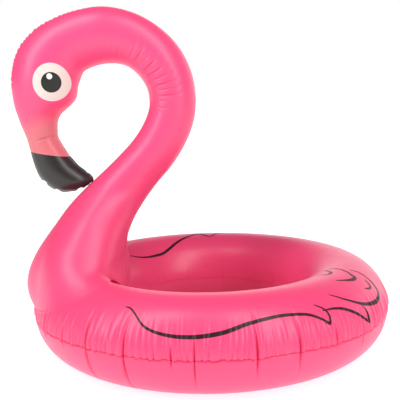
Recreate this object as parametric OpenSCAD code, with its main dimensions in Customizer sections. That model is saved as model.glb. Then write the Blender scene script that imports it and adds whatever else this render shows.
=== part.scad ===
// Inflatable flamingo swim ring, drawn blown up and standing on its ring.
// -X is the bird's front, +Z is up. The origin is the centre of the swim hole on the floor.

/* [Ring] */
// Outer diameter of the inflated ring, without its hem
ring_d = 1000; // [990:2:1010]
// Diameter of the ring's air tube
tube_d = 242; // [238:1:246]
// Width of the flat band on which the ring rests
rest_band = 16; // [12:1:20]
// Width of the welded hem outside the ring
hem_w = 5.5; // [3:0.5:8]

/* [Film] */
// Thickness of the ring's film
ring_film = 0.4; // [0.3:0.05:0.6]
// Thickness of the neck's and beak's film
neck_film = 0.45; // [0.35:0.05:0.6]
// Thickness of a printed ink layer
ink = 0.3; // [0.2:0.05:0.3]
// Gap under each printed ink layer
ink_gap = 0.2; // [0.12:0.01:0.25]

/* [Neck foot] */
// How far the neck's foot reaches round the ring on each side, in degrees
foot_spread = 48; // [44:1:52]
// Angle between the ring's seam and the foot's lowest weld, in degrees
foot_start = 5; // [4:0.5:7]
// Width of the welded strip under the neck's foot
weld_w = 9; // [6:1:12]

/* [Head] */
// Side to side fullness of the head, as a share of its depth
head_full = 0.9; // [0.85:0.01:0.95]
// Radius of the eye's white
eye_r = 51.5; // [48:0.5:53]
// Radius of the pupil
pupil_r = 27.5; // [25:0.5:30]
// Radius of the glint in the pupil
glint_r = 7.5; // [5:0.5:9]

/* [Feather print] */
// Width of a printed line at its middle
line_w = 8; // [6:0.5:10]

/* [Valves] */
// Radius of the valve's stem
stem_r = 7; // [6.5:0.1:7.5]
// Running clearance between the stem and its sleeve
stem_gap = 0.05; // [0.03:0.01:0.08]
// Radius of the stem's air bore
bore_r = 4.5; // [4.3:0.1:4.7]
// Length of the stem below the film
stem_len = 16; // [14:0.5:18]
// Thickness of the stem's lip and of the cap
lip_t = 1.2; // [1:0.1:1.5]
// Radius of the valve's welded flange
flange_r = 17; // [15:0.5:19]
// Distance from the valve's axis to the cap's hinge line
cap_hinge = 12.5; // [12:0.1:13]

/* [Hidden] */
$fn = 96;

tube_r = tube_d / 2;                                // outer radius of the air tube
core_r = ring_d / 2 - tube_r;                       // radius of the tube's centre circle
ring_z = sqrt(tube_r ^ 2 - (rest_band / 2) ^ 2);    // height of the ring's seam plane
LEFT = -1;                                          // the bird's left is -Y
RIGHT = 1;
ring_valve_lean = 42;                               // lean of the ring's valve, from upright
neck_valve_x = -176;                                // place of the neck's valve
neck_valve_up = 409;                                // its height over the ring's seam
neck_valve_y = 63.9;                                // half width of the neck at its valve
neck_slant = 42;                                    // lean of the neck at its valve, from upright
weld_t = 0.5;                                       // thickness of the foot's weld strip
foot_lift = 0.6;                                    // clearance of the foot's edge over the ring
skin_steps = 360;                                   // facets round a thin skin on the ring
half_steps = 20;                                    // points round half a section
foot_steps = 9;                                     // sections between the foot and the neck
eye_at = [-416.5, 635.5];                           // eye's centre, x and height over the seam
pupil_at = [-416.5, 635];                           // pupil's centre
glint_at = [-419.5, 651];                           // glint's centre
line_end = 0.35;                                    // width of a printed line's ends, as a share
eye_spots = 60;                                     // points round an eye's ink layer
eye_ring_w = 5.2;                                   // width of the bands of its mesh
eye_gap = 0.5;                                      // gap between the film and an eye's first layer
eye_narrow = 0.95;                                  // an eye's width over its height
hem_reach = 20;                                     // how far the sheet's half plane reaches past it
foot_rear = 0.3;                                    // how much narrower the foot is behind its middle
foot_turn = 25;                                     // degrees in which it narrows, from its middle on
foot_pull = 0.9;                                    // how far the foot carries on the neck's taper
foot_skew = 12;                                     // how far the weld's side lies behind the neck's side
flank_back = 28;                                    // how far back the flanks of a double width section sit
outline_trim = 3;                                   // degrees that the weld's front is cut back
outline_slope = 1.2;                                // degrees that it moves up per mm of inset
valve_room = 0.8;                                   // gap between the stem and the film's hole
flange_room = 0.6;                                  // gap between the stem and the flange's hole
flange_t = 1;                                       // thickness of the valve's flange
sleeve_t = 1.2;                                     // wall of the valve's sleeve
film_gap = 0.05;                                    // gap between the neck's film and the flange
lip_up = 0.3;                                       // height of the stem's lip over the film
lip_w = 2;                                          // how far the lip reaches past the stem
tab_w = 5;                                          // width of the cap's hinge tab
tab_gap = 1.2;                                      // gap between the stem's lug and the hinge line
cap_gap = 0.1;                                      // gap between the lip and the closed cap
cap_w = 1.5;                                        // how far the cap reaches past the stem
plug_len = 4;                                       // length of the cap's plug
plug_taper = 1.2;                                   // gap round the plug's lower end
plug_gap = 0.15;                                    // gap round the plug's upper end
plug_hole_r = 2.2;                                  // radius of the plug's hollow
pull_tab = [3, 4];                                  // length and width of the cap's pull tab
flap_t = 0.5;                                       // thickness of the flap
flap_over = 0.8;                                    // how far the flap reaches past the bore
flap_hinge = 1.3;                                   // distance from the bore to the flap's hinge
flap_tab_w = 3;                                     // width of the flap's hinge tab
flap_gap = 0.2;                                     // gap between the stem and the closed flap

// Spine of the neck and head, one row per section:
// x, height over the ring's seam, half depth, direction of the inner seam in degrees, fullness
NECK = [
    [-343, 189, 107, 157, 2.00], [-316, 240, 93, 148, 1.78], [-280, 291, 80, 143, 1.42],
    [-242, 335, 71, 139, 1.12], [-198, 384, 65, 138, 1.00], [-153, 434, 64, 142, 1.00],
    [-119, 486, 64, 152, 1.00], [-98, 539, 64, 166, 1.00], [-94, 590, 64, 183, 1.00],
    [-104, 640, 65, 200, 1.00], [-131, 689, 67, 218, 1.00], [-172, 728, 68, 235, 1.00],
    [-221, 752, 72, 253, 1.00], [-278, 761, 77, 270, 1.00], [-332, 753, 79, 283, 0.97],
    [-375, 737, 82, 296, 0.94], [-411, 709, 91, 311, head_full], [-439, 672, 95, 328, head_full],
    [-451, 627, 93, 344, head_full], [-454, 592, 86, 355, head_full], [-460, 566, 75, 361, 0.90],
    [-468, 546, 61, 363, 0.92], [-470, 524, 52, 366, 0.95], [-467, 500, 46, 367, 0.98],
    [-462, 475, 44, 362, 1.00], [-445, 436, 55, 351, 0.80]
];
BEAK = [
    [-444.8, 435.6, 55, 351, 0.80], [-426, 392, 56, 372, 0.82], [-401, 366, 54, 382, 0.82],
    [-380, 353, 48, 388, 0.84], [-360, 348.5, 35.5, 391, 0.88], [-344.5, 347.5, 20.5, 393, 0.95]
];
BEAK_TIP = [-333, 350.5];
EYE_ROWS = [14, 23];                                // first and last spine row near the eye

// Where the neck's foot bulges to just over the ring: x at its front, side and rear, the same
// for the height over the seam, and its half width
FOOT_X = [-560, -312, -222];
FOOT_UP = [85, 134, 60];
FOOT_HALF = 286;

// Feather lines of one wing: degrees from the tail, degrees up the tube from the outer seam
FEATHERS = [
    [[115, 55], [112.6, 48], [108.5, 33], [102, 26], [94.5, 25], [87, 29], [79, 38], [70, 42.5],
        [62, 39.5], [55, 23]],
    [[55, 23], [54.3, 30], [54.8, 40], [57.6, 48.5]],
    [[55.8, 39.2], [47.6, 34.7], [42.7, 24.2], [37.8, 9]],
    [[37.5, 9], [37.4, 20.8], [38.6, 30.8]],
    [[49.4, 56.3], [40.5, 35.2], [31.2, 26.2], [24.8, 27.4], [22, 42], [21.8, 66], [23.2, 76.7]],
    [[25, 54.5], [25.6, 45], [30.7, 45.8]],
    [[24.7, 103], [24.4, 93.5], [28, 69.4], [31.1, 63.8], [39.1, 74.5]],
    [[26.1, 108.4], [32.1, 92], [37.8, 105.6]],
    [[137, 135.5], [132.5, 137.6], [126.6, 137.7], [120.7, 135.6], [114.4, 127], [103, 105],
        [95.8, 92.4], [90.7, 104]]
];

// ---- curves ----

// One value between b and c on a smooth curve through a, b, c and d
function smooth(a, b, c, d, t) =
    b + 0.5 * t * (c - a + t * (2 * a - 5 * b + 4 * c - d + t * (3 * (b - c) + d - a)));

// Rows of a table with steps rows for each of its intervals
function smooth_rows(rows, steps) = [
    for (i = [0 : len(rows) - 2], k = [0 : steps - 1])
        smooth(rows[max(i - 1, 0)], rows[i], rows[i + 1], rows[min(i + 2, len(rows) - 1)], k / steps),
    rows[len(rows) - 1]
];

// Value between a and b
function mix(a, b, t) = a + (b - a) * t;

// Cubic curve from a to d that is pulled towards b and c
function arch(a, b, c, d, t) =
    (1 - t) ^ 3 * a + 3 * t * (1 - t) ^ 2 * b + 3 * t ^ 2 * (1 - t) * c + t ^ 3 * d;

// Point of the ring's surface: degrees round from the front, degrees up the tube, lift
function on_ring(round_a, up_a, lift) =
    let (r = core_r + (tube_r + lift) * cos(up_a))
    [-r * cos(round_a), r * sin(round_a), ring_z + (tube_r + lift) * sin(up_a)];

// ---- sections of the neck, from the front seam to the rear seam of one side ----
// A section that is wider than deep is squarer too, and its flank sits further back.

function section(row, side, grow) = [
    for (i = [0 : half_steps])
        let (
            a = 180 * i / half_steps,
            r = row[2] + grow,
            w = row[2] * row[4] + grow,
            full = max(0, row[4] - 1)
        )
        [
            row[0] + r * cos(a) * cos(row[3]) + flank_back * full * sin(a) ^ 2,
            side * w * sqrt(max(0, 1 - abs(cos(a)) ^ (2 + full))),
            ring_z + row[1] + r * cos(a) * sin(row[3])
        ]
];

// 0 below 0, 1 above 1, and a smooth step between
function ease(x) = let (t = max(0, min(1, x))) t * t * (3 - 2 * t);

// How wide the foot is at the angle a round its half section, as a share of its full width
function foot_share(a) = sin(a) * (1 - foot_rear * ease((a - 90) / foot_turn));

// Line along which the foot meets the ring
function foot_line(side, lift, spread = foot_spread, start = foot_start) = [
    for (i = [0 : half_steps])
        let (b = 180 * i / half_steps, a = b - foot_skew * sin(b))
        on_ring(side * spread * foot_share(a), 90 - (90 - start) * cos(a), lift)
];

// Line that the foot's flank bulges towards just over the ring: its front, side and rear are
// given by FOOT_X and FOOT_UP, and its half width by FOOT_HALF
function foot_bulge(side, grow) = [
    for (i = [0 : half_steps])
        let (
            a = 180 * i / half_steps,
            x_mid = (FOOT_X[0] + FOOT_X[2]) / 2,
            up_mid = (FOOT_UP[0] + FOOT_UP[2]) / 2,
            x_half = (FOOT_X[2] - FOOT_X[0]) / 2 + grow,
            up_half = (FOOT_UP[0] - FOOT_UP[2]) / 2
        )
        [
            x_mid - x_half * cos(a) + (FOOT_X[1] - x_mid) * sin(a) ^ 2,
            side * (FOOT_HALF * foot_share(a) + grow * sin(a)),
            ring_z + up_mid + up_half * cos(a) + (FOOT_UP[1] - up_mid) * sin(a) ^ 2 + grow
        ]
];

// Loops of the foot and neck, grown outwards by grow
function neck_loops(side, grow) =
    let (
        low = foot_line(side, foot_lift + neck_film + grow),
        bulge = foot_bulge(side, grow),
        top = section(NECK[0], side, grow),
        next = section(NECK[1], side, grow),
        taper = [for (i = [0 : half_steps]) top[i] - foot_pull * (next[i] - top[i])]
    )
    concat(
        [for (k = [0 : foot_steps - 1])
            [for (i = [0 : half_steps]) arch(low[i], bulge[i], taper[i], top[i], k / foot_steps)]],
        [for (row = smooth_rows(NECK, 2)) section(row, side, grow)]
    );

function row_loops(rows, side, grow) = [for (row = rows) section(row, side, grow)];

// ---- skins ----

// Two triangles of a grid's cell, turned over where flip is set
function cell(a, b, c, d, flip) = flip ? [[a, c, b], [b, c, d]] : [[a, b, c], [b, d, c]];

// Film between two stacks of half loops. The loops' ends lie in the seam plane.
// A tip, outer and inner, closes the last loop to a point.
module film(outer, inner, side, tips = []) {
    m = len(outer[0]);
    n = len(outer);
    flip = side == LEFT;
    points = concat([for (l = outer) each l], [for (l = inner) each l], tips);
    in0 = n * m;
    tip = 2 * n * m;
    last = (n - 1) * m;
    skins = [
        for (j = [0 : n - 2], i = [0 : m - 2])
            let (a = j * m + i)
            each concat(
                cell(a, a + 1, a + m, a + m + 1, flip),
                cell(in0 + a, in0 + a + 1, in0 + a + m, in0 + a + m + 1, !flip)
            )
    ];
    seams = [
        for (j = [0 : n - 2])
            let (a = j * m, b = j * m + m - 1)
            each concat(
                cell(a, a + m, in0 + a, in0 + a + m, flip),
                cell(b, b + m, in0 + b, in0 + b + m, !flip)
            )
    ];
    foot = [for (i = [0 : m - 2]) each cell(i, i + 1, in0 + i, in0 + i + 1, !flip)];
    rim = [
        for (i = [0 : m - 2])
            each cell(last + i, last + i + 1, in0 + last + i, in0 + last + i + 1, flip)
    ];
    fans = [
        for (i = [0 : m - 2])
            let (a = last + i, b = last + i + 1)
            each concat(
                flip ? [[b, a, tip]] : [[a, b, tip]],
                flip ? [[in0 + a, in0 + b, tip + 1]] : [[in0 + b, in0 + a, tip + 1]]
            )
    ];
    ends = let (b = last + m - 1) concat(
        cell(last, tip, in0 + last, tip + 1, flip),
        cell(b, tip, in0 + b, tip + 1, !flip)
    );
    faces = concat(skins, seams, foot, len(tips) == 0 ? rim : concat(fans, ends));
    polyhedron(points = points, faces = faces, convexity = 10);
}

module neck_panel(side) {
    film(neck_loops(side, 0), neck_loops(side, -neck_film), side);
}

module beak_panel(side) {
    rows = smooth_rows(BEAK, 3);
    tip = [BEAK_TIP[0], 0, ring_z + BEAK_TIP[1]];
    film(row_loops(rows, side, 0), row_loops(rows, side, -neck_film), side,
        [tip, tip - [2 * neck_film, 0, 0]]);
}

// Spine row at a place along the table, 0 at its first row
function row_at(rows, s) =
    let (i = min(floor(s), len(rows) - 2))
    smooth(rows[max(i - 1, 0)], rows[i], rows[i + 1], rows[min(i + 2, len(rows) - 1)], s - i);

// How far a point of the seam plane lies past a section, towards the beak
function past(row, p) = (p[0] - row[0]) * sin(row[3]) - (p[1] - row[1]) * cos(row[3]);

// Place along the table whose section runs through the point p
function place_of(rows, p, low, high, tries = 20) =
    let (mid = (low + high) / 2)
    tries == 0 ? mid
        : past(row_at(rows, mid), p) > 0 ? place_of(rows, p, mid, high, tries - 1)
        : place_of(rows, p, low, mid, tries - 1);

// Half width of the head at the point p of the seam plane
function head_side(p) =
    let (
        row = row_at(NECK, place_of(NECK, p, EYE_ROWS[0], EYE_ROWS[1])),
        u = norm([p[0] - row[0], p[1] - row[1]]) / row[2]
    )
    row[2] * row[4] * sqrt(1 - u ^ 2);

// Round layer of ink on the side of the head: layer counts from the film
module eye_print(side, layer, at, r) {
    rings = max(1, round(r / eye_ring_w));
    spots = eye_spots;
    low = eye_gap + layer * (ink + ink_gap);
    places = concat([at], [
        for (k = [1 : rings], i = [0 : spots - 1])
            at + r * k / rings * [eye_narrow * cos(360 * i / spots), sin(360 * i / spots)]
    ]);
    n = len(places);
    outer = [for (p = places) [p[0], side * (head_side(p) + low + ink), ring_z + p[1]]];
    inner = [for (p = places) [p[0], side * (head_side(p) + low), ring_z + p[1]]];
    flip = side == LEFT;
    middle = [
        for (i = [0 : spots - 1])
            let (a = 1 + i, b = 1 + (i + 1) % spots)
            each [flip ? [0, b, a] : [0, a, b], flip ? [n, n + a, n + b] : [n, n + b, n + a]]
    ];
    bands = rings == 1 ? [] : [
        for (k = [0 : rings - 2], i = [0 : spots - 1])
            let (a = 1 + k * spots + i, b = 1 + k * spots + (i + 1) % spots)
            each concat(
                cell(a, b, a + spots, b + spots, !flip),
                cell(n + a, n + b, n + a + spots, n + b + spots, flip)
            )
    ];
    edge = [
        for (i = [0 : spots - 1])
            let (a = 1 + (rings - 1) * spots + i, b = 1 + (rings - 1) * spots + (i + 1) % spots)
            each cell(a, b, n + a, n + b, !flip)
    ];
    polyhedron(points = concat(outer, inner), faces = concat(middle, bands, edge), convexity = 4);
}

// ---- ring ----

// Half of the tube's film and its two hems, above or below the seam plane
module sheet_profile(upper) {
    floor_y = -ring_z;
    intersection() {
        translate([core_r - tube_r - hem_reach, upper ? 0 : -tube_d])
            square([2 * (tube_r + hem_reach), tube_d]);
        union() {
            difference() {
                intersection() {
                    translate([core_r, 0]) circle(r = tube_r);
                    translate([0, floor_y]) square([2 * ring_d, 2 * tube_d]);
                }
                intersection() {
                    translate([core_r, 0]) circle(r = tube_r - ring_film);
                    translate([0, floor_y + ring_film]) square([2 * ring_d, 2 * tube_d]);
                }
            }
            for (x = [core_r + tube_r - 2 * ring_film, core_r - tube_r - hem_w])
                translate([x, -ring_film]) square([hem_w + 2 * ring_film, 2 * ring_film]);
        }
    }
}

// Skin that lies on the ring's upper half between two lifts
module ring_skin(low, high) {
    translate([0, 0, ring_z]) rotate_extrude($fn = skin_steps) intersection() {
        translate([core_r, 0]) difference() {
            circle(r = tube_r + high, $fn = skin_steps);
            circle(r = tube_r + low, $fn = skin_steps);
        }
        translate([0, 1]) square([ring_d, tube_d]);
    }
}

// Outline of one printed line, seen from above: its points moved sideways along the tube
function line_edge(points, side, way) = [
    for (i = [0 : len(points) - 1])
        let (
            p = points[i],
            along = points[min(i + 1, len(points) - 1)] - points[max(i - 1, 0)],
            reach = core_r + tube_r * cos(p[1]),
            run = [along[0] * reach, along[1] * tube_r],
            half = way * line_w / 2 * mix(line_end, 1, sin(180 * i / (len(points) - 1))),
            turn = half / norm(run) * 180 / PI,
            q = p + [-run[1] / reach, run[0] / tube_r] * turn,
            r = core_r + tube_r * cos(q[1])
        )
        [r * cos(q[0]), side * r * sin(q[0])]
];

module feather_lines(side) {
    for (line = FEATHERS) {
        points = smooth_rows(line, 3);
        edge = line_edge(points, side, 1);
        back = line_edge(points, side, -1);
        polygon(concat(edge, [for (i = [len(back) - 1 : -1 : 0]) back[i]]));
    }
}

module wing_print(side) {
    color("#5c1426") intersection() {
        ring_skin(ink_gap, ink_gap + ink);
        linear_extrude(height = 2 * tube_d) feather_lines(side);
    }
}

module foot_outline(inset) {
    spread = foot_spread - inset / core_r * 180 / PI;
    start = foot_start + outline_trim + inset * outline_slope;
    left = foot_line(LEFT, 0, spread, start);
    right = foot_line(RIGHT, 0, spread, start);
    polygon(concat(
        [for (p = left) [p[0], p[1]]],
        [for (i = [half_steps - 1 : -1 : 1]) [right[i][0], right[i][1]]]
    ));
}

// ---- valves, drawn on their own axis with the film's outer face at height 0 ----

module ring_valve_place() {
    translate([0, core_r, ring_z]) rotate([-ring_valve_lean, 0, 0]) translate([0, 0, tube_r])
        rotate([0, 0, -90]) children();
}

module neck_valve_place() {
    translate([neck_valve_x, neck_valve_y, ring_z + neck_valve_up])
        rotate([0, 0, 90]) rotate([0, 90, 0]) rotate([0, 0, 90]) children();
}

module valve_sleeve(top) {
    difference() {
        translate([0, 0, 1 - stem_len]) cylinder(h = stem_len - 1 + top, r = stem_r + sleeve_t);
        translate([0, 0, -stem_len]) cylinder(h = 2 * stem_len, r = stem_r + stem_gap);
    }
}

module valve_stem() {
    color("#f2a9bd") difference() {
        union() {
            translate([0, 0, -stem_len]) cylinder(h = stem_len + lip_up, r = stem_r);
            translate([0, 0, lip_up]) cylinder(h = lip_t, r = stem_r + lip_w);
            translate([stem_r, -tab_w / 2, lip_up]) cube([cap_hinge - tab_gap - stem_r, tab_w, lip_t]);
        }
        translate([0, 0, -stem_len - 1]) cylinder(h = 2 * stem_len, r = bore_r);
    }
}

module valve_cap() {
    seat = lip_up + lip_t + cap_gap;
    color("#f2a9bd") {
        difference() {
            union() {
                translate([0, 0, seat]) cylinder(h = lip_t, r = stem_r + cap_w);
                translate([0, 0, seat - plug_len])
                    cylinder(h = plug_len + cap_gap, r1 = bore_r - plug_taper, r2 = bore_r - plug_gap);
                translate([stem_r, -tab_w / 2, seat]) cube([cap_hinge - stem_r, tab_w, lip_t]);
                translate([cap_hinge, tab_w / 2, seat + lip_t / 2]) rotate([90, 0, 0])
                    cylinder(h = tab_w, r = lip_t / 2);
            }
            translate([0, 0, seat - plug_len - 1]) cylinder(h = plug_len, r = plug_hole_r);
        }
        translate([-stem_r - pull_tab[0] - 0.5, -pull_tab[1] / 2, seat])
            cube([pull_tab[0], pull_tab[1], lip_t]);
    }
}

module valve_flap() {
    hinge = bore_r + flap_hinge;
    low = -stem_len - flap_gap - flap_t;
    color("#f6c9d4") {
        translate([0, 0, low]) cylinder(h = flap_t, r = bore_r + flap_over);
        translate([0, -flap_tab_w / 2, low]) cube([hinge, flap_tab_w, flap_t]);
        translate([hinge, flap_tab_w / 2, low + flap_t / 2]) rotate([90, 0, 0])
            cylinder(h = flap_tab_w, r = flap_t / 2);
    }
}

// ---- pieces ----

module ring_lower_sheet() {
    color("#ff6193") translate([0, 0, ring_z]) rotate_extrude() sheet_profile(false);
}

module ring_upper_sheet() {
    color("#ff6193") difference() {
        translate([0, 0, ring_z]) rotate_extrude() sheet_profile(true);
        ring_valve_place() cylinder(h = 2 * stem_len, r = stem_r + valve_room, center = true);
    }
}

module neck_foot_weld() {
    color("#e84f82") intersection() {
        ring_skin(0, weld_t);
        linear_extrude(height = 2 * tube_d) difference() {
            foot_outline(0);
            foot_outline(weld_w);
        }
    }
}

module neck_left_panel() {
    color("#ff6193") neck_panel(LEFT);
}

module neck_right_panel() {
    color("#ff6193") difference() {
        neck_panel(RIGHT);
        neck_valve_place() cylinder(h = 2 * stem_len, r = stem_r + valve_room, center = true);
    }
}

module beak_left_panel() {
    color("#3a3835") beak_panel(LEFT);
}

module beak_right_panel() {
    color("#3a3835") beak_panel(RIGHT);
}

module eye_white_left() {
    color("#f8e9e4") eye_print(LEFT, 0, eye_at, eye_r);
}

module eye_pupil_left() {
    color("#3b3b38") eye_print(LEFT, 1, pupil_at, pupil_r);
}

module eye_glint_left() {
    color("white") eye_print(LEFT, 2, glint_at, glint_r);
}

module eye_white_right() {
    color("#f8e9e4") eye_print(RIGHT, 0, eye_at, eye_r);
}

module eye_pupil_right() {
    color("#3b3b38") eye_print(RIGHT, 1, pupil_at, pupil_r);
}

module eye_glint_right() {
    color("white") eye_print(RIGHT, 2, glint_at, glint_r);
}

module wing_print_left() {
    wing_print(LEFT);
}

module wing_print_right() {
    wing_print(RIGHT);
}

module ring_valve_flange() {
    color("#f2a9bd") {
        difference() {
            intersection() {
                translate([0, 0, ring_z]) rotate_extrude() translate([core_r, 0]) difference() {
                    circle(r = tube_r - ring_film);
                    circle(r = tube_r - ring_film - flange_t);
                }
                ring_valve_place() cylinder(h = 2 * flange_r, r = flange_r, center = true);
            }
            ring_valve_place() cylinder(h = 2 * stem_len, r = stem_r + flange_room, center = true);
        }
        ring_valve_place() valve_sleeve(-flange_t);
    }
}

module ring_valve_stem() {
    ring_valve_place() valve_stem();
}

module ring_valve_cap() {
    ring_valve_place() valve_cap();
}

module ring_valve_flap() {
    ring_valve_place() valve_flap();
}

module neck_valve_flange() {
    inside = neck_valve_y - neck_film - film_gap;
    color("#f2a9bd") {
        difference() {
            intersection() {
                translate([neck_valve_x, 0, ring_z + neck_valve_up]) rotate([0, neck_slant, 0]) difference() {
                    cylinder(h = 4 * flange_r, r = inside, center = true);
                    cylinder(h = 5 * flange_r, r = inside - flange_t, center = true);
                }
                neck_valve_place() cylinder(h = 2 * flange_r, r = flange_r - lip_w, center = true);
            }
            neck_valve_place() cylinder(h = 2 * stem_len, r = stem_r + flange_room, center = true);
        }
        neck_valve_place() valve_sleeve(-flange_t);
    }
}

module neck_valve_stem() {
    neck_valve_place() valve_stem();
}

module neck_valve_cap() {
    neck_valve_place() valve_cap();
}

module neck_valve_flap() {
    neck_valve_place() valve_flap();
}

ring_lower_sheet();
ring_upper_sheet();
neck_foot_weld();
neck_left_panel();
neck_right_panel();
beak_left_panel();
beak_right_panel();
eye_white_left();
eye_pupil_left();
eye_glint_left();
eye_white_right();
eye_pupil_right();
eye_glint_right();
wing_print_left();
wing_print_right();
ring_valve_flange();
ring_valve_stem();
ring_valve_cap();
ring_valve_flap();
neck_valve_flange();
neck_valve_stem();
neck_valve_cap();
neck_valve_flap();
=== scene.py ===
import math

import bpy
import numpy as np
from mathutils import Matrix, Vector
from mathutils.bvhtree import BVHTree


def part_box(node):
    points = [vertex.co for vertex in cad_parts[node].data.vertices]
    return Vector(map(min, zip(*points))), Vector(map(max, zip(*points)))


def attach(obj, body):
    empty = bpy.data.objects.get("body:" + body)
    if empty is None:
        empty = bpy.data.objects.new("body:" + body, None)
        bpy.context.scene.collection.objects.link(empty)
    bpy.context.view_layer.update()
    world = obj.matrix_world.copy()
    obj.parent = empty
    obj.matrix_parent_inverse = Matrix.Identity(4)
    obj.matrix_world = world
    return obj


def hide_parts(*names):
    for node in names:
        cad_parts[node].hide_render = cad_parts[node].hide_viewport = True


# Looks of a blown-up flamingo swim ring. Lengths are in millimetres until they reach a mesh.
MM = 0.001
LEFT = -1
RIGHT = 1

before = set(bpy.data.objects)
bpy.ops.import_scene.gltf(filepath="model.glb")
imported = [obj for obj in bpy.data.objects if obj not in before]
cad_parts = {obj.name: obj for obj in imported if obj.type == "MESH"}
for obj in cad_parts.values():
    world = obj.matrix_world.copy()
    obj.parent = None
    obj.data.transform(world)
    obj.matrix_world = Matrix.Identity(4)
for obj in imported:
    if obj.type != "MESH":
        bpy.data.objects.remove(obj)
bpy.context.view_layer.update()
random = np.random.default_rng(20)

# ---- sizes read from the frame ----

HEM = 5.5                                           # the ring's welded hem, outside the tube
_, lower_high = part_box("ring_lower_sheet")
_, upper_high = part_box("ring_upper_sheet")
SEAM_Z = lower_high.z / MM                          # height of the ring's seam plane
TUBE_R = upper_high.z / MM - SEAM_Z                 # radius of the air tube
RING_R = lower_high.x / MM - HEM                    # outer radius of the ring
CORE_R = RING_R - TUBE_R                            # radius of the tube's centre circle

# ---- the neck's spine: x, height over the seam, half depth, direction of the inner seam, fullness ----
# 16 of the 26 rows are within 3 mm of what a scratch script measured on the photo's outline.

NECK = np.array([
    (-343, 189, 107, 157, 2.00), (-316, 240, 93, 148, 1.78), (-280, 291, 80, 143, 1.42),
    (-242, 335, 71, 139, 1.12), (-198, 384, 65, 138, 1.00), (-153, 434, 64, 142, 1.00),
    (-119, 486, 64, 152, 1.00), (-98, 539, 64, 166, 1.00), (-94, 590, 64, 183, 1.00),
    (-104, 640, 65, 200, 1.00), (-131, 689, 67, 218, 1.00), (-172, 728, 68, 235, 1.00),
    (-221, 752, 72, 253, 1.00), (-278, 761, 77, 270, 1.00), (-332, 753, 79, 283, 0.97),
    (-375, 737, 82, 296, 0.94), (-411, 709, 91, 311, 0.90), (-439, 672, 95, 328, 0.90),
    (-451, 627, 93, 344, 0.90), (-454, 592, 86, 355, 0.90), (-460, 566, 75, 361, 0.90),
    (-468, 546, 61, 363, 0.92), (-470, 524, 52, 366, 0.95), (-467, 500, 46, 367, 0.98),
    (-462, 475, 44, 362, 1.00), (-445, 436, 55, 351, 0.80),
], float)
BEAK = np.array([
    (-444.8, 435.6, 55, 351, 0.80), (-426, 392, 56, 372, 0.82), (-401, 366, 54, 382, 0.82),
    (-380, 353, 48, 388, 0.84), (-360, 348.5, 35.5, 391, 0.88), (-344.5, 347.5, 20.5, 393, 0.95),
    (-334.5, 350, 4, 393, 1.00),
], float)

# The foot: front, middle and rear of its bulge, with their heights over the seam
FOOT_X = (-560, -312, -222)
FOOT_UP = (85, 134, 60)
FOOT_HALF = 286                                     # half width of the bulge
FOOT_SPREAD = 48                                    # degrees of the ring that the foot covers each way
FOOT_START = 5                                      # degrees between the seam and the foot's weld
FOOT_REAR = 0.30                                    # share of the width that is lost behind the neck
FOOT_TURN = 25                                      # degrees over which it is lost
FOOT_PULL = 0.9                                     # how straight the foot runs into the neck
FOOT_SKEW = 12                                      # degrees that the neck's side leads the weld's side
FLANK_BACK = 28                                     # how far back a double width section has its flanks
VALVE_AT = (-176, 529.7)                            # the neck valve's place, x and height

EYES = [                                            # piece, centre on the seam plane, radius, lift
    ("eye_white", (-416.5, 635.5), 51.5, 0.35), ("eye_pupil", (-416.5, 635.0), 27.5, 0.60),
    ("eye_glint", (-419.5, 651.0), 7.8, 0.85),
]

# Feather lines of one wing: degrees from the tail, degrees up the tube, width in millimetres.
# Most angles are photo points that a scratch script turned into ring angles.
FEATHERS = [
    [(117, 55.5, 2), (115.2, 54.5, 4), (112.9, 48, 4), (108.5, 33, 6), (102, 26, 8), (94.5, 25, 9.5),
     (87, 29, 10), (79, 38, 9),
     (70, 42.5, 8), (62, 39.5, 7), (57.5, 31, 6), (55, 22.8, 7.5)],
    [(55, 22.8, 7), (54.2, 30.3, 6), (54.8, 40, 4.5), (57.6, 48.6, 2)],
    [(55.8, 39.2, 2), (51.8, 38.7, 5), (47.6, 34.7, 7), (42.7, 24.2, 7.5), (37.6, 8.6, 6)],
    [(37.6, 8.6, 6), (37.4, 20.8, 5), (38.6, 30.8, 2)],
    [(49.3, 56.5, 2), (44, 43.4, 5), (37, 30.7, 8), (30.3, 25.7, 11), (25.7, 26.9, 10), (23, 31.9, 7),
     (22.2, 41.2, 6),
     (22, 53, 5), (21.8, 66.2, 4), (23.2, 76.7, 2)],
    [(25, 54.5, 2), (25.6, 44.9, 6), (27.6, 42.6, 6), (30.7, 45.8, 2)],
    [(24.7, 103, 2), (24.4, 93.5, 4), (26.3, 79, 5), (28, 69.4, 7), (28.6, 64.8, 9), (31.1, 63.6, 10),
     (35.3, 68, 7),
     (39.1, 74.5, 2)],
    [(26.1, 108.4, 2), (29.9, 96.7, 6), (32.1, 92, 7), (35.1, 93.5, 5), (37.8, 105.6, 2)],
    [(146, 126, 2), (141, 132.5, 4), (137, 135.8, 5), (132.5, 137.6, 6), (126.6, 137.7, 8),
     (120.7, 135.6, 9), (114.4, 127, 9), (103, 105, 8),
     (95.8, 92.4, 8), (90.7, 104, 5), (87.8, 99.7, 4), (85, 79, 2)],
]

# ---- small mathematics ----


def smooth_rows(rows, places):
    """Rows of a table at fractional row numbers, on a smooth curve through all of them."""
    last = len(rows) - 1
    i = np.clip(np.floor(places).astype(int), 0, last - 1)
    t = (places - i)[:, None]
    a, b = rows[np.maximum(i - 1, 0)], rows[i]
    c, d = rows[i + 1], rows[np.minimum(i + 2, last)]
    return b + 0.5 * t * (c - a + t * (2 * a - 5 * b + 4 * c - d + t * (3 * (b - c) + d - a)))


def ease(x):
    """0 below 0, 1 above 1, and a smooth step between."""
    x = np.clip(x, 0, 1)
    return x * x * (3 - 2 * x)


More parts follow.
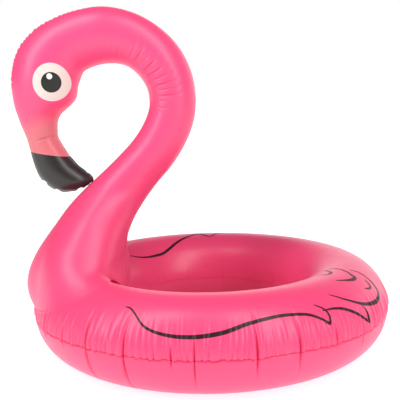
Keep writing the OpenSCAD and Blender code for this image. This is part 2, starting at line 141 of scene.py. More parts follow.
def noise_line(x, spacing, seed):
    """Smooth random values between -1 and 1 along x."""
    values = np.random.default_rng(seed).uniform(-1, 1, 4096)
    place = np.asarray(x) / spacing
    i = np.floor(place).astype(int)
    t = ease(place - i)
    return values[i % 4096] * (1 - t) + values[(i + 1) % 4096] * t


def normals_of(points):
    """Unit normals of a grid of points."""
    normal = np.cross(np.gradient(points, axis=1), np.gradient(points, axis=0))
    size = np.linalg.norm(normal, axis=2, keepdims=True)
    return normal / np.maximum(size, 1e-9)


# ---- meshes ----


def mesh_piece(name, points, faces, body, nodes=()):
    """A smooth-shaded mesh that rides on a body. Points are in millimetres."""
    mesh = bpy.data.meshes.new(name)
    mesh.from_pydata((np.asarray(points).reshape(-1, 3) * MM).tolist(), [], faces)
    mesh.update()
    mesh.polygons.foreach_set("use_smooth", [True] * len(mesh.polygons))
    piece = bpy.data.objects.new(name, mesh)
    bpy.context.scene.collection.objects.link(piece)
    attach(piece, body)
    if nodes:
        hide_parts(*nodes)
    return piece


def grid_faces(rows, columns, flip=False, round_rows=False, skip=None):
    """Quads of a grid. round_rows joins the last row to the first."""
    faces = []
    for j in range(rows if round_rows else rows - 1):
        k = (j + 1) % rows
        for i in range(columns - 1):
            if skip is not None and skip[j, i]:
                continue
            a, b, c, d = j * columns + i, j * columns + i + 1, k * columns + i + 1, k * columns + i
            faces.append((a, d, c, b) if flip else (a, b, c, d))
    return faces


# ---- the ring's film ----

# Deep folds across the outer seam: degrees round, depth, reach up and down in degrees
FOLDS = [
    (-150, 4.0, 18, 12), (-138, 3.0, 16, 8), (-127.5, 8.0, 30, 40), (-114.6, 8.0, 32, 44),
    (-100.9, 6.0, 10, 10),
    (-94.7, 6.5, 22, 36), (-78.0, 7.5, 36, 20), (-65.7, 6.5, 30, 20), (-53.2, 7.5, 20, 4),
    (-41.0, 5.0, 20, 14),
    (-27.0, 5.0, 22, 16), (-9.0, 5.5, 24, 22),
]
FOLDS += [
    (angle + random.uniform(-3.5, 3.5), random.uniform(5, 8), random.uniform(16, 34), random.uniform(8, 38))
    for angle in np.arange(6, 178, 12.5)
]


def flute_edges():
    """Degrees at which the flutes above the outer seam meet, one turn of the ring."""
    widths = random.choice([0.9, 1.3, 1.7, 2.2, 2.9], 320, p=[0.18, 0.28, 0.26, 0.19, 0.09])
    widths = widths * random.uniform(0.8, 1.2, len(widths))
    edges = -180 + np.cumsum(widths)
    edges = edges[edges < 179]
    for fold in FOLDS:
        edges[np.argmin(np.abs(edges - fold[0]))] = fold[0]
    edges = np.unique(np.sort(edges))
    return np.concatenate([[edges[-1] - 360], edges, [edges[0] + 360]])


EDGES = flute_edges()
FLUTE_WIDTH = np.append(np.diff(EDGES), 1.5) * math.pi / 180 * RING_R
FLUTE_HEIGHT = np.clip(0.42 * FLUTE_WIDTH * random.uniform(0.5, 1.4, len(EDGES)), 0.8, 7.0)
FLUTE_REACH = random.uniform(10, 26, len(EDGES)) + 0.25 * FLUTE_WIDTH


def flute(around):
    """Place in a flute, 0 to 1, and the flute's number."""
    turned = (around + 180) % 360 - 180
    number = np.clip(np.searchsorted(EDGES, turned, side="right") - 1, 0, len(EDGES) - 2)
    start, end = EDGES[number], EDGES[number + 1]
    return np.clip((turned - start) / (end - start), 0, 1), number


def ring_swell(around, up):
    """How far the ring's film stands off a plain tube, in millimetres."""
    high = up >= 0
    rise = np.abs(up)
    place, number = flute(around + noise_line(around, 9, 3) * 0.03 * rise)
    crown = np.sin(np.pi * place) ** 0.5
    height = FLUTE_HEIGHT[number] * np.where(high, 1.0, 0.06)
    round_end = 1 - np.exp(-rise / np.where(high, 1.2, 4.0))
    swell = height * (crown - 0.35) * round_end * np.exp(-(rise / FLUTE_REACH[number]) ** 2)
    swell = swell - np.where(high, 4.6, 1.6) * np.exp(-rise)
    for angle, depth, reach_up, reach_down in FOLDS:
        run = ((around - angle + 180) % 360 - 180) * math.pi / 180 * RING_R
        width = 1.7 + 0.03 * rise
        fade = np.exp(-(rise / np.where(high, reach_up, reach_down)) ** 2.4)
        bank = np.exp(-((np.abs(run) - 3.4 * width) / (2.0 * width)) ** 2)
        groove = np.exp(-np.abs(run) / width) - 0.12 * bank
        swell = swell - depth * groove * fade
    slow = 0.9 * noise_line(around, 17, 5) * np.exp(-(rise / 60) ** 2)
    inner = 180 - rise
    swell = swell - 0.4 * np.exp(-inner / 1.6)
    ripple = 0.5 * noise_line(around, 1.9, 8) * np.exp(-(inner / 16) ** 2)
    return swell + slow + ripple


def seam_drop(around, up):
    """How far the outer seam hangs below its plane, in millimetres."""
    place, number = flute(around)
    crown = np.sin(np.pi * place) ** 0.5
    drop = 1.4 + 0.5 * FLUTE_HEIGHT[number] * crown + 1.2 * noise_line(around, 6, 11)
    drop = drop + 1.3 * noise_line(around, 1.8, 12)
    return drop * np.exp(-(np.abs(up) / 7) ** 2)


def ring_points(around, up, lift=0.0):
    """Points of the ring's film: degrees round from the tail, degrees up from the outer seam."""
    around, up = np.broadcast_arrays(np.asarray(around, float), np.asarray(up, float))
    r = TUBE_R + ring_swell(around, up) + lift
    flat = np.radians(up)
    turn = np.radians(around)
    out = CORE_R + r * np.cos(flat)
    z = SEAM_Z + r * np.sin(flat) - seam_drop(around, up)
    return np.stack([out * np.cos(turn), out * np.sin(turn), np.maximum(z, 0.02)], axis=-1)


def turns_of_ring(steps):
    """Angles round the ring, closer together at the folds."""
    fine = np.linspace(-180, 180, 24001)
    gap = np.abs((fine[:, None] - [fold[0] for fold in FOLDS] + 180) % 360 - 180)
    share = np.cumsum(1 + 2.5 * np.exp(-(gap / 0.9) ** 2).sum(axis=1))
    share = (share - share[0]) / (share[-1] - share[0])
    return np.interp(np.arange(steps) / steps, share, fine)


RING_STEPS = 2200
UP_STEPS = 130
TURNS = turns_of_ring(RING_STEPS)


def foot_share(a):
    """Share of the foot's half width, at an angle round the weld from the front (0) to the rear (pi)."""
    return np.sin(a) * (1 - FOOT_REAR * ease((np.degrees(a) - 90) / FOOT_TURN))


def under_foot(around, up, margin):
    """True where the neck's foot covers the ring."""
    from_front = np.abs((around % 360) - 180)
    turn = np.arccos(np.clip((90 - up) / (90 - FOOT_START), -1, 1))
    inside = (up > FOOT_START + margin) & (up < 180 - FOOT_START - margin)
    return inside & (from_front < FOOT_SPREAD * foot_share(turn) - margin)


def ring_sheet(name, upper):
    share = np.linspace(0, 1, UP_STEPS)
    up = 180 * (0.35 * share + 0.65 * share ** 2.4) * (1 if upper else -1)
    grid_a, grid_u = np.meshgrid(TURNS, up, indexing="ij")
    skip = under_foot(grid_a, grid_u, 9.0) if upper else None
    faces = grid_faces(RING_STEPS, UP_STEPS, flip=not upper, round_rows=True, skip=skip)
    return mesh_piece(name, ring_points(grid_a, grid_u), faces, "float", [name])


def hem_strip(name, inner):
    """The welded hem: outside it hangs down over the lower sheet, inside it stands out into the hole."""
    wave = noise_line(TURNS, 1.1, 21)
    if inner:
        profile = [(0.4, 0.3), (-1.6, 0.2), (-2.0, 0.0), (-1.6, -0.2), (0.4, -0.3)]
        root = ring_points(TURNS, np.full(RING_STEPS, 180.0))
        away = np.stack([np.cos(np.radians(TURNS)), np.sin(np.radians(TURNS)), 0 * TURNS], axis=1)
        rings = [root + away * out + [0, 0, rise] for out, rise in profile]
    else:
        profile = [(0.4, -0.6), (-0.2, 0.6), (-1.0, 1.1), (-2.2, 1.1),
                   (-3.4, 1.0), (-4.1, 0.9), (-4.2, 0.5), (-3.4, 0.2)]
        rings = [
            ring_points(TURNS, down * (1 + 0.10 * wave), lift + 0.5 * np.maximum(wave, 0) * (down < -2))
            for down, lift in profile
        ]
    faces = grid_faces(RING_STEPS, len(profile), flip=inner, round_rows=True)
    return mesh_piece(name, np.stack(rings, axis=1), faces, "float")


def weld_strip(name):
    """The thin flange of the neck's weld, lying on the ring round the foot."""
    steps = 260
    all_points, faces = [], []
    for side in (LEFT, RIGHT):
        a = np.linspace(0, np.pi, steps)
        away = 180 - FOOT_SPREAD * foot_share(a)
        up = 90 - (90 - FOOT_START) * np.cos(a)
        reach = CORE_R + TUBE_R * np.cos(np.radians(up))
        run = np.stack([np.gradient(away) * reach, np.gradient(up) * TUBE_R], axis=1)
        run /= np.linalg.norm(run, axis=1, keepdims=True)
        columns = []
        for across, lift in ((-3, 0.2), (-1, 0.9), (2, 0.7), (4.5, 0.45), (5.5, 0.05)):
            shift = np.degrees(across)
            line_around = side * (away - run[:, 1] / reach * shift)
            line_up = up + run[:, 0] / TUBE_R * shift
            columns.append(ring_points(line_around, line_up, lift))
        base = len(all_points)
        all_points += list(np.stack(columns, axis=1).reshape(-1, 3))
        strip = grid_faces(steps, len(columns), flip=side == RIGHT)
        faces += [tuple(base + i for i in face) for face in strip]
    return mesh_piece(name, all_points, faces, "float", [name])


# ---- the neck's and the beak's film ----

HALF_STEPS = 84
ALONG = 1.9                  # spacing of the sections, in millimetres


def section_points(rows, side, around):
    """Half sections: a row of the table for each, from the inner seam to the outer seam."""
    a = np.radians(around)[None, :]
    turn = np.radians(rows[:, 3:4])
    depth = rows[:, 2:3] * np.cos(a)
    # Fuller sections are squarer, and their flanks sit further back
    full = np.maximum(0, rows[:, 4:5] - 1)
    return np.stack([
        rows[:, 0:1] + depth * np.cos(turn) + FLANK_BACK * full * np.sin(a) ** 2,
        side * rows[:, 2:3] * rows[:, 4:5] * np.sqrt(np.maximum(0, 1 - np.abs(np.cos(a)) ** (2 + full))),
        SEAM_Z + rows[:, 1:2] + depth * np.sin(turn),
    ], axis=-1)


def even_places(rows, spacing, busy=()):
    """Row numbers of sections along the spine, closer together round the busy rows."""
    fine = np.linspace(0, len(rows) - 1, 40 * len(rows))
    spine = smooth_rows(rows, fine)[:, :2]
    step = np.linalg.norm(np.diff(spine, axis=0), axis=1)
    for row, width, times in busy:
        step = step * (1 + (times - 1) * np.exp(-((fine[1:] - row) / width) ** 4))
    run = np.concatenate([[0], np.cumsum(step)])
    return np.interp(np.linspace(0, run[-1], int(run[-1] / spacing)), run, fine)


def foot_rows(side, around, steps):
    """Sections between the weld on the ring and the neck's first row."""
    a = np.radians(around)
    weld_a = a - math.radians(FOOT_SKEW) * np.sin(a)
    up = np.radians(90 - (90 - FOOT_START) * np.cos(weld_a))
    r = TUBE_R + 0.3
    out = CORE_R + r * np.cos(up)
    turn = np.radians(side * FOOT_SPREAD * foot_share(weld_a))
    low = np.stack([-out * np.cos(turn), out * np.sin(turn), SEAM_Z + r * np.sin(up)], axis=-1)
    x_mid = (FOOT_X[0] + FOOT_X[2]) / 2
    up_mid = (FOOT_UP[0] + FOOT_UP[2]) / 2
    bulge = np.stack([
        x_mid - (FOOT_X[2] - x_mid) * np.cos(a) + (FOOT_X[1] - x_mid) * np.sin(a) ** 2,
        side * FOOT_HALF * np.sin(a) * (1 - FOOT_REAR * ease((around - 60) / 80)),
        SEAM_Z + up_mid + (FOOT_UP[0] - up_mid) * np.cos(a) + (FOOT_UP[1] - up_mid) * np.sin(a) ** 2,
    ], axis=-1)
    outward = np.stack([-np.cos(up) * np.cos(turn), np.cos(up) * np.sin(turn), np.sin(up)], axis=-1)
    off = np.sum((bulge - low) * outward, axis=1)
    soft = 0.7 * ease((around - 12) / 22) * (1 - ease((around - 62) / 34))
    bulge = bulge + (np.maximum(0, 9 - off) - soft * np.maximum(0, off))[:, None] * outward
    top, after = section_points(NECK[:2], side, around)
    taper = top - FOOT_PULL * (after - top)
    t = np.linspace(0, 1, steps, endpoint=False)[:, None, None]
    return (1 - t) ** 3 * low + 3 * t * (1 - t) ** 2 * bulge + 3 * t ** 2 * (1 - t) * taper + t ** 3 * top


def scallops(run, spacing, seed):
    """Puckers along a seam, full in the middle and pinched where they meet."""
    wander = (run + 0.38 * spacing * noise_line(run, 1.3 * spacing, seed)) / spacing
    cell = np.floor(wander)
    return (np.sin(np.pi * (wander - cell)) ** 0.55 - 0.72) * (0.68 + 0.32 * noise_line(cell, 1, seed + 1))


# Short creases on the neck: two ends (x, height over the seam), depth, width
CREASES = [
    (-472, 477, -424, 489, 4.2, 1.8), (-498, 487, -474, 476, 1.8, 2.0), (-489, 470, -452, 478, 0.6, 3.5),
    (-530, 633, -548, 640, 2.2, 2.0), (-360, 655, -342, 668, 0.8, 4.0),
]
# Wrinkles inside the bend: row of the table, angle from the inner seam, half length in degrees, depth
WRINKLES = [
    (11.2, 78, 22, 1.0), (10.8, 72, 26, 1.3), (10.4, 74, 20, 0.9), (10.0, 70, 26, 1.6), (9.55, 74, 28, 1.7),
    (9.15, 80, 28, 1.4), (8.75, 78, 28, 1.7), (8.4, 84, 26, 1.3), (8.05, 80, 30, 1.7), (7.7, 64, 18, 0.9),
    (7.3, 66, 16, 1.3), (12.4, 66, 16, 0.6), (12.0, 54, 16, 0.6),
]


def crease_depth(points):
    """Depth of the short creases at the grid's points."""
    depth = np.zeros(points.shape[:2])
    for x0, z0, x1, z1, deep, wide in CREASES:
        along = np.array([x1 - x0, z1 - z0], float)
        offset = points[..., [0, 2]] - [x0, SEAM_Z + z0]
        t = np.clip((offset @ along) / (along @ along), 0, 1)
        gap = np.linalg.norm(offset - t[..., None] * along, axis=-1)
        depth += deep * np.exp(-(gap / wide) ** 1.4) * np.sin(np.pi * (0.12 + 0.76 * t)) ** 0.5
    return depth




def neck_film(side):
    """Grid of points of one neck panel, from the foot's weld to the bill."""
    around = 45 - 45 * np.cos(np.linspace(0, np.pi, HALF_STEPS)) + 0.5 * np.linspace(0, 180, HALF_STEPS)
    places = even_places(NECK, ALONG, [(16.6, 3.2, 2.2), (9.4, 2.4, 1.7)])
    rows = smooth_rows(NECK, places)
    foot_steps = int(200 / ALONG)
    foot = foot_rows(side, around, foot_steps)
    points = np.concatenate([foot, section_points(rows, side, around)])
    row_at = np.concatenate([np.linspace(-3.5, 0, foot_steps, endpoint=False), places])[:, None]
    normal = normals_of(points) * (-side)
    step = np.linalg.norm(np.diff(points, axis=0), axis=2)
    run = np.concatenate([np.zeros((1, HALF_STEPS)), np.cumsum(step, axis=0)])
    half = np.concatenate([np.full(foot_steps, NECK[0, 2]), rows[:, 2]])[:, None]
    inner_gap = half * np.radians(around)[None, :]
    outer_gap = half * np.radians(180 - around)[None, :]
    # gathers along the two seams, strongest on the head's crown
    crown = np.exp(-((row_at - 16.6) / 2.3) ** 2)
    crown_fade = np.exp(-(outer_gap / (7 + 11 * crown)) ** 1.3)
    swell = (0.35 + 12 * crown) * scallops(run[:, -1:], 13.5, 31) * crown_fade
    swell = swell + 0.4 * scallops(run[:, :1], 9, 35) * np.exp(-(inner_gap / 8) ** 1.3)
    # the weld itself pulls the film in
    swell -= np.exp(-outer_gap / 2.2) + np.exp(-inner_gap / 2.2)
    for row, middle, length, deep in WRINKLES:
        if side == RIGHT and row < 8:
            continue                                # the neck valve's flange lies there
        bow = 0.0022 * (around - middle) ** 2 / length
        across = (row_at - row - bow[None, :] * 0.4) * 52
        fade = np.exp(-(np.abs(around - middle) / length) ** 2.5)[None, :]
        groove = np.exp(-(across / 2.2) ** 2)
        bank = np.exp(-((np.abs(across) - 6.5) / 3.5) ** 2)
        swell -= 1.45 * deep * fade * (groove - 0.5 * bank)
    swell -= crease_depth(points)
    if side == RIGHT:                               # the film lies over the neck valve's flange
        gap = np.hypot(points[..., 0] - VALVE_AT[0], points[..., 2] - VALVE_AT[1])
        swell += 0.9 * np.exp(-(gap / 24) ** 4)
    points = points + normal * swell[..., None]
    points[:, [0, -1], 1] = 0
    return points


def neck_panel(name, side):
    points = neck_film(side)
    faces = grid_faces(points.shape[0], points.shape[1], flip=side == RIGHT)
    return mesh_piece(name, points, faces, "float", [name])


# Lobes along the bill's outer edge: rows of the table where they meet
LOBES = np.array([-0.9, 0.5, 1.62, 2.68, 4.95, 6.3])


def beak_film(side):
    """Grid of points of one beak panel, from the neck to the tip."""
    around = np.linspace(0, 180, HALF_STEPS)
    places = even_places(BEAK, 0.9)
    rows = smooth_rows(BEAK, places)
    points = section_points(rows, side, around)
    normal = normals_of(points) * (-side)
    step = np.linalg.norm(np.diff(points, axis=0), axis=2)
    run = np.concatenate([np.zeros((1, HALF_STEPS)), np.cumsum(step, axis=0)])
    outer_gap = rows[:, 2:3] * np.radians(180 - around)[None, :]
    inner_gap = rows[:, 2:3] * np.radians(around)[None, :]
    row_at = places[:, None]
    number = np.clip(np.searchsorted(LOBES, places, side="right") - 1, 0, len(LOBES) - 2)
    share = np.clip((places - LOBES[number]) / (LOBES[number + 1] - LOBES[number]), 0, 1)[:, None]
    low = ease((row_at - 0.7) / 0.6) * (1 - ease((row_at - 5.2) / 0.5))
    lobe_height = np.minimum(np.sin(np.pi * share) ** 0.5, 0.8) - 0.68
    swell = 14 * lobe_height * low * np.exp(-(outer_gap / 13) ** 1.4)
    swell = swell + 0.8 * scallops(run[:, -1:], 9, 51) * np.exp(-(outer_gap / 9) ** 1.3)
    swell = swell + 0.8 * scallops(run[:, :1], 12, 53) * np.exp(-(inner_gap / 8) ** 1.3)
    swell -= 2.2 * np.exp(-((row_at - 2.55) / 0.16) ** 2) * np.exp(-(inner_gap / 9) ** 1.3)
    swell *= 1 - ease((row_at - 5.0) / 1.0)
    points = points + normal * swell[..., None]
    points[:, [0, -1], 1] = 0
    return points


def beak_panel(name, side):
    points = beak_film(side)
    faces = grid_faces(points.shape[0], points.shape[1], flip=side == RIGHT)
    return mesh_piece(name, points, faces, "float", [name])


def seam_ridge(name, points, width=1.7):
    """The thin welded edge along a panel's outline, standing in the seam plane."""
    rings = []
    for line, sign in ((points[:, 0], 0), (points[:, -1], 1)):
        inward = points[:, 1 if sign == 0 else -2] - line
        inward[:, 1] = 0
        tangent = np.gradient(line, axis=0)
        out = np.stack([-tangent[:, 2], np.zeros(len(line)), tangent[:, 0]], axis=1)
        out /= np.maximum(np.linalg.norm(out, axis=1, keepdims=True), 1e-9)
        out *= -np.sign(np.sum(out * (points[:, points.shape[1] // 2] * [1, 0, 1] - line), axis=1))[:, None]
        rings.append((line, out))
    all_points, faces = [], []
    for line, out in rings:
        base = len(all_points)
        profile = [(-0.8, -0.5), (width * 0.6, -0.42), (width, 0.0), (width * 0.6, 0.42), (-0.8, 0.5)]
        for j in range(len(line)):
            for reach, across in profile:
                all_points.append(line[j] + out[j] * reach + np.array([0, across, 0]))
        faces += [tuple(base + i for i in face) for face in grid_faces(len(line), len(profile))]
    return mesh_piece(name, all_points, faces, "float")


# ---- printed ink ----


def print_line(stroke, side):
    """A ribbon of ink on the ring: a smooth line through the stroke's points, as wide as they say."""
    control = np.array(stroke, float)
    places = np.linspace(0, len(control) - 1, 60 * (len(control) - 1) + 1)
    line = smooth_rows(control, places)
    reach = CORE_R + TUBE_R * np.cos(np.radians(line[:, 1]))
    run = np.stack([np.gradient(line[:, 0]) * reach, np.gradient(line[:, 1]) * TUBE_R], axis=1)
    run /= np.linalg.norm(run, axis=1, keepdims=True)
    columns = []
    for across in np.linspace(-1, 1, 7):
        shift = np.degrees(across * line[:, 2] / 2)
        around = line[:, 0] - run[:, 1] / reach * shift
        up = line[:, 1] + run[:, 0] / TUBE_R * shift
        columns.append(ring_points(side * around, up, 0.8))
    return np.stack(columns, axis=1)


def wing_print(name, side):
    all_points, faces = [], []
    for number, stroke in enumerate(FEATHERS):
        if side == RIGHT and number in (6, 7):
            continue                        # only the left wing has the two strokes nearest the tail
        if side == LEFT and number == 8:
            stroke = stroke[:6] + [(108, 115, 2)]   # the near wing's line ends before the hole's rim
        grid = print_line(stroke, side)
        base = len(all_points)
        all_points += list(grid.reshape(-1, 3))
        ribbon = grid_faces(grid.shape[0], grid.shape[1], flip=side == LEFT)
        faces += [tuple(base + i for i in face) for face in ribbon]
    return mesh_piece(name, all_points, faces, "float", [name])


def eye_disc(name, side, panel, centre, radius, lift):
    """A round of ink laid on the head's film."""
    tree = BVHTree.FromPolygons(
        [vertex.co for vertex in panel.data.vertices], [polygon.vertices for polygon in panel.data.polygons]
    )
    spots = 96
    rings = max(3, int(radius / 2.5))
    points = []
    for k in range(rings + 1):
        for i in range(spots if k else 1):
            a = 2 * math.pi * i / spots
            x = centre[0] + 0.95 * radius * k / rings * math.cos(a)
            z = SEAM_Z + centre[1] + radius * k / rings * math.sin(a)
            hit, normal, _, _ = tree.ray_cast(Vector((x * MM, side * 0.3, z * MM)), Vector((0, -side, 0)))
            points.append((hit.x / MM, hit.y / MM + side * lift, hit.z / MM))
    faces = [(0, 1 + i, 1 + (i + 1) % spots) for i in range(spots)]
    for k in range(rings - 1):
        a, b = 1 + k * spots, 1 + (k + 1) * spots
        faces += [(a + i, b + i, b + (i + 1) % spots, a + (i + 1) % spots) for i in range(spots)]
    if side == RIGHT:
        faces = [face[::-1] for face in faces]
    return mesh_piece(name, points, faces, "float", [name])


# ---- materials ----


def new_material(name):
    material = bpy.data.materials.new(name)
    material.use_nodes = True
    nodes = material.node_tree.nodes
    shader = nodes["Principled BSDF"]
    return material, nodes, material.node_tree.links, shader


def film_material(name, colour, roughness=0.38, shine=0.5, bump=0.05, fade=None):
    """Printed PVC film: satin skin with fine grain and slow changes of colour."""
    material, nodes, links, shader = new_material(name)
    place = nodes.new("ShaderNodeTexCoord")
    grain = nodes.new("ShaderNodeTexNoise")
    grain.inputs["Scale"].default_value = 900
    grain.inputs["Detail"].default_value = 3
    waves = nodes.new("ShaderNodeTexNoise")
    waves.inputs["Scale"].default_value = 26
    waves.inputs["Detail"].default_value = 2
    links.new(place.outputs["Object"], grain.inputs["Vector"])
    links.new(place.outputs["Object"], waves.inputs["Vector"])
    mix = nodes.new("ShaderNodeMix")
    mix.data_type = "RGBA"
    mix.inputs["A"].default_value = (*colour, 1)
    mix.inputs["B"].default_value = (*(0.93 * c for c in colour), 1)
    links.new(waves.outputs["Fac"], mix.inputs["Factor"])
    skin = mix.outputs["Result"]
    if fade is not None:
        skin = bill_fade(nodes, links, place.outputs["Object"], skin, fade)
    links.new(skin, shader.inputs["Base Color"])
    spread = nodes.new("ShaderNodeMapRange")
    spread.inputs["To Min"].default_value = roughness - 0.04
    spread.inputs["To Max"].default_value = roughness + 0.05
    links.new(waves.outputs["Fac"], spread.inputs["Value"])
    links.new(spread.outputs["Result"], shader.inputs["Roughness"])
    height = nodes.new("ShaderNodeBump")
    height.inputs["Strength"].default_value = bump
    height.inputs["Distance"].default_value = 0.0004
    links.new(grain.outputs["Fac"], height.inputs["Height"])
    links.new(height.outputs["Normal"], shader.inputs["Normal"])
    shader.inputs["IOR"].default_value = 1.5
    shader.inputs["Specular IOR Level"].default_value = shine
    return material


# The bill's printed fade runs along this line: x and height over the seam, at its start and its end
FADE_START = (-468, 566)
FADE_END = (-448, 500)


def bill_fade(nodes, links, place, skin, other):
    """Colour of the film, fading to another one towards the beak."""
    along = np.array([FADE_END[0] - FADE_START[0], FADE_END[1] - FADE_START[1]], float)
    along /= along @ along
    split = nodes.new("ShaderNodeSeparateXYZ")
    links.new(place, split.inputs["Vector"])
    terms = []
    for socket, slope, start in (("X", along[0], FADE_START[0]), ("Z", along[1], FADE_START[1] + SEAM_Z)):
        term = nodes.new("ShaderNodeMath")
        term.operation = "MULTIPLY_ADD"
        term.inputs[1].default_value = slope / MM
        term.inputs[2].default_value = -slope * start
        links.new(split.outputs[socket], term.inputs[0])
        terms.append(term)
    total = nodes.new("ShaderNodeMath")
    total.operation = "ADD"
    links.new(terms[0].outputs["Value"], total.inputs[0])
    links.new(terms[1].outputs["Value"], total.inputs[1])
    share = nodes.new("ShaderNodeMapRange")
    share.interpolation_type = "SMOOTHSTEP"
    links.new(total.outputs["Value"], share.inputs["Value"])
    front = nodes.new("ShaderNodeMapRange")
    front.interpolation_type = "SMOOTHSTEP"
    front.inputs["From Min"].default_value = -0.36
    front.inputs["From Max"].default_value = -0.39
    links.new(split.outputs["X"], front.inputs["Value"])
    above = nodes.new("ShaderNodeMapRange")
    above.inputs["From Min"].default_value = 0.45
    above.inputs["From Max"].default_value = 0.50
    links.new(split.outputs["Z"], above.inputs["Value"])
    head = nodes.new("ShaderNodeMath")
    head.operation = "MULTIPLY"
    links.new(front.outputs["Result"], head.inputs[0])
    links.new(above.outputs["Result"], head.inputs[1])
    both = nodes.new("ShaderNodeMath")
    both.operation = "MULTIPLY"
    links.new(share.outputs["Result"], both.inputs[0])
    links.new(head.outputs["Value"], both.inputs[1])
    mix = nodes.new("ShaderNodeMix")
    mix.data_type = "RGBA"
    links.new(both.outputs["Value"], mix.inputs["Factor"])
    links.new(skin, mix.inputs["A"])
    mix.inputs["B"].default_value = (*other, 1)
    return mix.outputs["Result"]


PINK = (0.97, 0.073, 0.212)
SALMON = (0.68, 0.155, 0.183)
pink_film = film_material("pink_film", PINK, roughness=0.35)
bill_film = film_material("bill_film", PINK, fade=SALMON)
black_film = film_material("black_film", (0.019, 0.017, 0.015), roughness=0.34, shine=0.55)
feather_ink = film_material("feather_ink", (0.034, 0.007, 0.014), shine=0.35)
valve_pvc = film_material("valve_pvc", (0.93, 0.30, 0.42), roughness=0.30)
valve_flap = film_material("valve_flap", (0.93, 0.44, 0.54), roughness=0.30)
EYE_INKS = {
    "eye_white": (film_material("eye_white_ink", (0.78, 0.68, 0.62)), "eye_white"),
    "eye_pupil": (film_material("eye_black_ink", (0.018, 0.020, 0.018), shine=0.3), "eye_black"),
    "eye_glint": (film_material("eye_glint_ink", (0.97, 0.95, 0.94)), "eye_glint"),
}


def put(piece, material):
    piece.data.materials.clear()
    piece.data.materials.append(material)


# ---- the pieces ----

for name, upper in (("ring_upper_sheet", True), ("ring_lower_sheet", False)):
    put(ring_sheet(name, upper), pink_film)
put(hem_strip("ring_outer_hem", False), pink_film)
put(hem_strip("ring_inner_hem", True), pink_film)
put(weld_strip("neck_foot_weld"), pink_film)
panels = {}
for side, word in ((LEFT, "left"), (RIGHT, "right")):
    panels[side] = neck_panel(f"neck_{word}_panel", side)
    put(panels[side], bill_film)
    put(beak_panel(f"beak_{word}_panel", side), black_film)
    put(wing_print(f"wing_print_{word}", side), feather_ink)
put(seam_ridge("neck_seam", neck_film(LEFT)), bill_film)
put(seam_ridge("beak_seam", beak_film(LEFT)), black_film)
for side, word in ((LEFT, "left"), (RIGHT, "right")):
    for piece, centre, radius, lift in EYES:
        disc = eye_disc(f"{piece}_{word}", side, panels[side], centre, radius, lift)
        put(disc, EYE_INKS[piece][0])

for name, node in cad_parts.items():
    if "valve" in name:
        put(node, valve_flap if name.endswith("flap") else valve_pvc)

# ---- floor, light and camera ----


def glowing_floor_painted_shade():
    """A pale floor with no horizon. Its glow is painted light, which also lights the float from below. The
    glow is weaker near the float and full far off, and it is cut out under the hole as a painted shadow, so
    the hole stays dim.
    """
    bpy.ops.mesh.primitive_plane_add(size=60, location=(0, 0, -0.0005))
    floor = bpy.context.object
    floor.name = "floor"
    material, nodes, links, shader = new_material("glowing_floor_painted_shade")
    shader.inputs["Base Color"].default_value = (0.6, 0.6, 0.6, 1)
    shader.inputs["Roughness"].default_value = 0.8
    shader.inputs["Emission Color"].default_value = (1, 1, 1, 1)
    place = nodes.new("ShaderNodeTexCoord")
    gap = nodes.new("ShaderNodeVectorMath")
    gap.operation = "LENGTH"
    # Painted light: the floor's glow is weaker near the float, a painted shade, and full far off
    painted_glow = nodes.new("ShaderNodeMapRange")
    painted_glow.interpolation_type = "SMOOTHSTEP"
    for socket, value in (("From Min", 0.6), ("From Max", 2.2), ("To Min", 0.78), ("To Max", 1.0)):
        painted_glow.inputs[socket].default_value = value
    # Painted shadow: the glow fades out under the hole
    painted_hole_shadow = nodes.new("ShaderNodeMapRange")
    painted_hole_shadow.interpolation_type = "SMOOTHSTEP"
    painted_hole_shadow.inputs["From Min"].default_value = 0.20
    painted_hole_shadow.inputs["From Max"].default_value = 0.40
    times = nodes.new("ShaderNodeMath")
    times.operation = "MULTIPLY"
    links.new(place.outputs["Object"], gap.inputs[0])
    links.new(gap.outputs["Value"], painted_glow.inputs["Value"])
    links.new(gap.outputs["Value"], painted_hole_shadow.inputs["Value"])
    links.new(painted_glow.outputs["Result"], times.inputs[0])
    links.new(painted_hole_shadow.outputs["Result"], times.inputs[1])
    links.new(times.outputs["Value"], shader.inputs["Emission Strength"])
    put(floor, material)


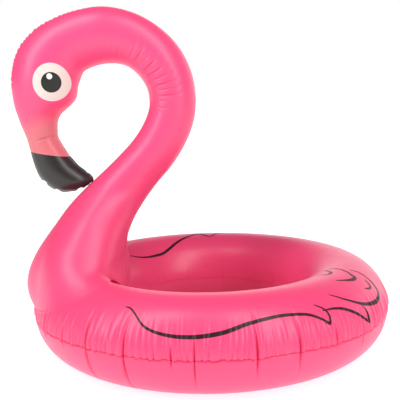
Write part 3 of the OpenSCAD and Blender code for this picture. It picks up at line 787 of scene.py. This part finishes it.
def studio_world():
    """White behind the float, dim overhead, with a bright low wall at the back on the right."""
    world = bpy.data.worlds.new("studio")
    bpy.context.scene.world = world
    world.use_nodes = True
    nodes, links = world.node_tree.nodes, world.node_tree.links
    place = nodes.new("ShaderNodeTexCoord")
    split = nodes.new("ShaderNodeSeparateXYZ")
    links.new(place.outputs["Generated"], split.inputs["Vector"])
    back = nodes.new("ShaderNodeMapRange")
    low = nodes.new("ShaderNodeMapRange")
    side = nodes.new("ShaderNodeMapRange")
    ramps = (
        (back, "Y", -0.1, 0.6),
        (low, "Z", 0.65, 0.2),
        (side, "X", -0.45, 0.15),
    )
    for node, socket, start, end in ramps:
        node.interpolation_type = "SMOOTHSTEP"
        node.inputs["From Min"].default_value = start
        node.inputs["From Max"].default_value = end
        links.new(split.outputs[socket], node.inputs["Value"])
    wall = nodes.new("ShaderNodeMath")
    wall.operation = "MULTIPLY"
    links.new(back.outputs["Result"], wall.inputs[0])
    links.new(low.outputs["Result"], wall.inputs[1])
    part = nodes.new("ShaderNodeMath")
    part.operation = "MULTIPLY"
    links.new(wall.outputs["Value"], part.inputs[0])
    links.new(side.outputs["Result"], part.inputs[1])
    strength = nodes.new("ShaderNodeMapRange")
    strength.inputs["To Min"].default_value = 0.08
    strength.inputs["To Max"].default_value = 1.5
    links.new(part.outputs["Value"], strength.inputs["Value"])
    soft = nodes["Background"]
    soft.inputs["Color"].default_value = (1, 1, 1, 1)
    links.new(strength.outputs["Result"], soft.inputs["Strength"])
    bright = nodes.new("ShaderNodeBackground")
    bright.inputs["Color"].default_value = (1, 1, 1, 1)
    path = nodes.new("ShaderNodeLightPath")
    mix = nodes.new("ShaderNodeMixShader")
    links.new(path.outputs["Is Camera Ray"], mix.inputs["Fac"])
    links.new(soft.outputs["Background"], mix.inputs[1])
    links.new(bright.outputs["Background"], mix.inputs[2])
    links.new(mix.outputs["Shader"], nodes["World Output"].inputs["Surface"])


# Softboxes: degrees round the float, height of the middle, distance, width, height (m), power
SOFTBOXES = [("left_box", -147, 2.4, 2.3, 0.8, 4.4, 80), ("right_box", -50, 2.4, 2.3, 0.8, 4.4, 74)]


def softboxes():
    for name, azimuth, height, distance, wide, tall, power in SOFTBOXES:
        light = bpy.data.lights.new(name, "AREA")
        light.shape = "RECTANGLE"
        light.size = wide
        light.size_y = tall
        light.energy = power
        lamp = bpy.data.objects.new(name, light)
        bpy.context.scene.collection.objects.link(lamp)
        turn = math.radians(azimuth)
        place = Vector((distance * math.cos(turn), distance * math.sin(turn), height))
        lamp.location = place
        lamp.rotation_euler = (Vector((0, 0, 0.45)) - place).to_track_quat("-Z", "Y").to_euler()


def camera():
    data = bpy.data.cameras.new("camera")
    data.lens = 68.93
    data.sensor_width = 36
    lens = bpy.data.objects.new("camera", data)
    bpy.context.scene.collection.objects.link(lens)
    ahead = Vector((-0.01103, 0.98887, -0.14836)).normalized()
    top = Vector((0.02380, 0.14858, 0.98861))
    right = ahead.cross(top).normalized()
    top = right.cross(ahead)
    turn = Matrix((right, top, -ahead)).transposed().to_4x4()
    lens.matrix_world = Matrix.Translation((0, -2.1636, 0.6176 + SEAM_Z * MM)) @ turn
    bpy.context.scene.camera = lens


glowing_floor_painted_shade()
studio_world()
softboxes()
camera()
bpy.context.scene.view_settings.view_transform = "Standard"
